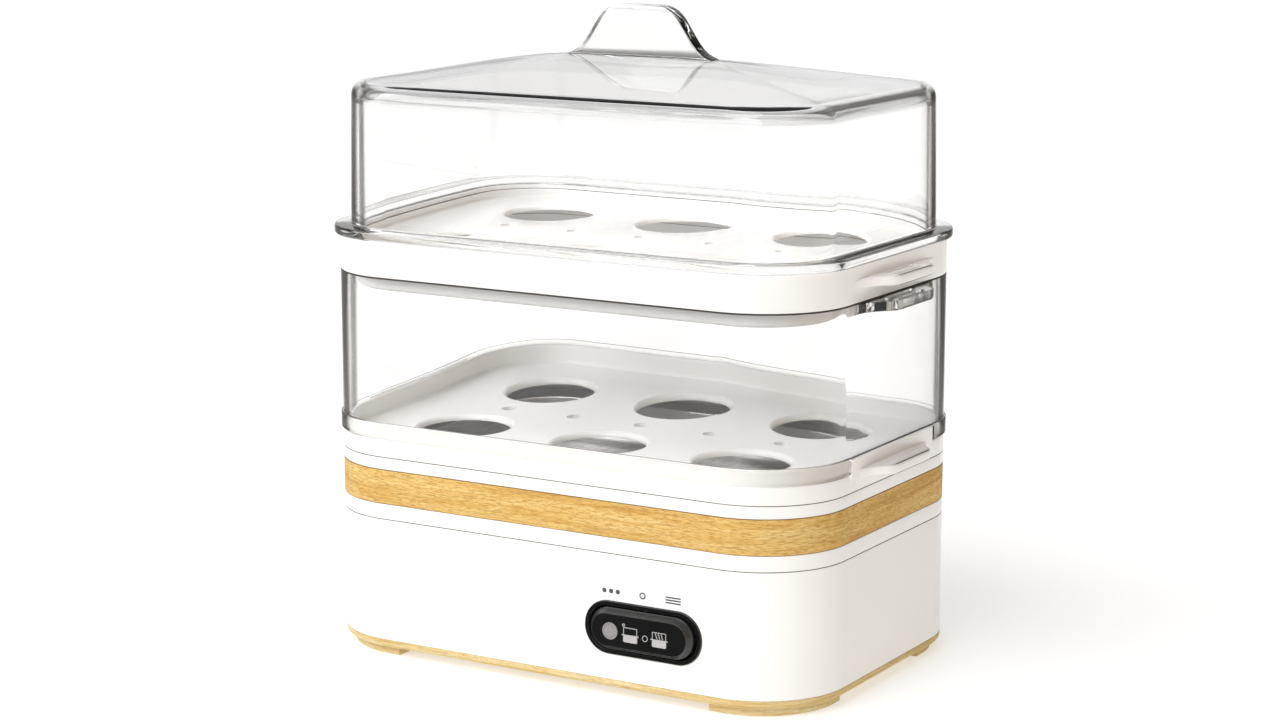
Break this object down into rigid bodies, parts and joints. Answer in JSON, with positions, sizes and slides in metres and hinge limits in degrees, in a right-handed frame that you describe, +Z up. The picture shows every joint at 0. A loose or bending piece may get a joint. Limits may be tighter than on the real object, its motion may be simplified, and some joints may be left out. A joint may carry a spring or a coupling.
{
  "type": "egg cooker",
  "caption": "Electric egg cooker with a water pan and rocker switch in a white base with wood-effect trim, stacked trays, a clear sleeve and a clear lid with a fin handle.",
  "frame": {"origin": "middle of the footprint on the floor, under the feet", "axes": "+Z up, front with the switch towards -Y, +X to the right seen from the front"},
  "size_m": [0.1952, 0.1256, 0.2084],
  "materials": {
    "white_plastic": "satin gloss moulding",
    "wood_effect": "printed oak grain, satin",
    "pale_wood_effect": "printed pale grain, satin",
    "clear_plastic": "clear, polished",
    "black_plastic": "black, glossy",
    "lens_plastic": "smoked lens, smooth",
    "lamp_glass": "clear lamp",
    "stainless": "brushed, satin",
    "aluminium": "cast, matt",
    "steel": "zinc plated",
    "dark_steel": "oxidised sheath",
    "brass": "plain",
    "silicone": "soft, matt",
    "rubber": "matt",
    "nylon": "matt",
    "ceramic": "matt"
  },
  "bodies": {
    "base": {"base_plate": "pale_wood_effect", "case_screws": "steel", "clamp_screws": "steel", "cord_clamp": "nylon", "cord_gland": "rubber", "earth_screw": "steel", "earth_tag": "brass", "earth_wire": "silicone", "element_terminals": "steel", "feet": "pale_wood_effect", "fuse_wire": "silicone", "heat_spreader": "aluminium", "heater_wire": "silicone", "heating_element": "dark_steel", "heating_pan": "stainless", "live_wire": "silicone", "lower_housing": "white_plastic", "neutral_wire": "silicone", "pan_seal": "silicone", "retainer_screws": "steel", "retainer_straps": "steel", "rocker_pin": "steel", "switch_bezel": "black_plastic", "switch_body": "black_plastic", "switch_lamp": "lamp_glass", "switch_terminals": "brass", "terminal_block": "nylon", "terminal_screws": "brass", "thermal_fuse": "ceramic", "thermostat": "ceramic", "thermostat_clip": "steel", "thermostat_wire": "silicone", "top_deck": "white_plastic", "upper_housing": "white_plastic", "wood_band": "wood_effect"},
    "rocker": {"rocker": "black_plastic", "rocker_lens": "lens_plastic", "rocker_plunger": "brass"},
    "lower_tray": {"lower_tray": "white_plastic"},
    "sleeve": {"clear_sleeve": "clear_plastic"},
    "upper_tray": {"upper_tray": "white_plastic"},
    "lid": {"lid": "clear_plastic"}
  },
  "joints": [
    {"name": "rocker_hinge", "type": "hinge", "parent": "base", "child": "rocker", "pos_m": [0.036, -0.058, 0.0223], "axis": [0, 0, 1], "range_deg": [-7, 7]},
    {"name": "lower_tray_lift", "type": "slide", "parent": "base", "child": "lower_tray", "axis": [0, 0, 1], "range_m": [0, 0.06]},
    {"name": "sleeve_lift", "type": "slide", "parent": "lower_tray", "child": "sleeve", "axis": [0, 0, 1], "range_m": [0, 0.07]},
    {"name": "upper_tray_lift", "type": "slide", "parent": "sleeve", "child": "upper_tray", "axis": [0, 0, 1], "range_m": [0, 0.06]},
    {"name": "lid_lift", "type": "slide", "parent": "upper_tray", "child": "lid", "axis": [0, 0, 1], "range_m": [0, 0.09]}
  ]
}
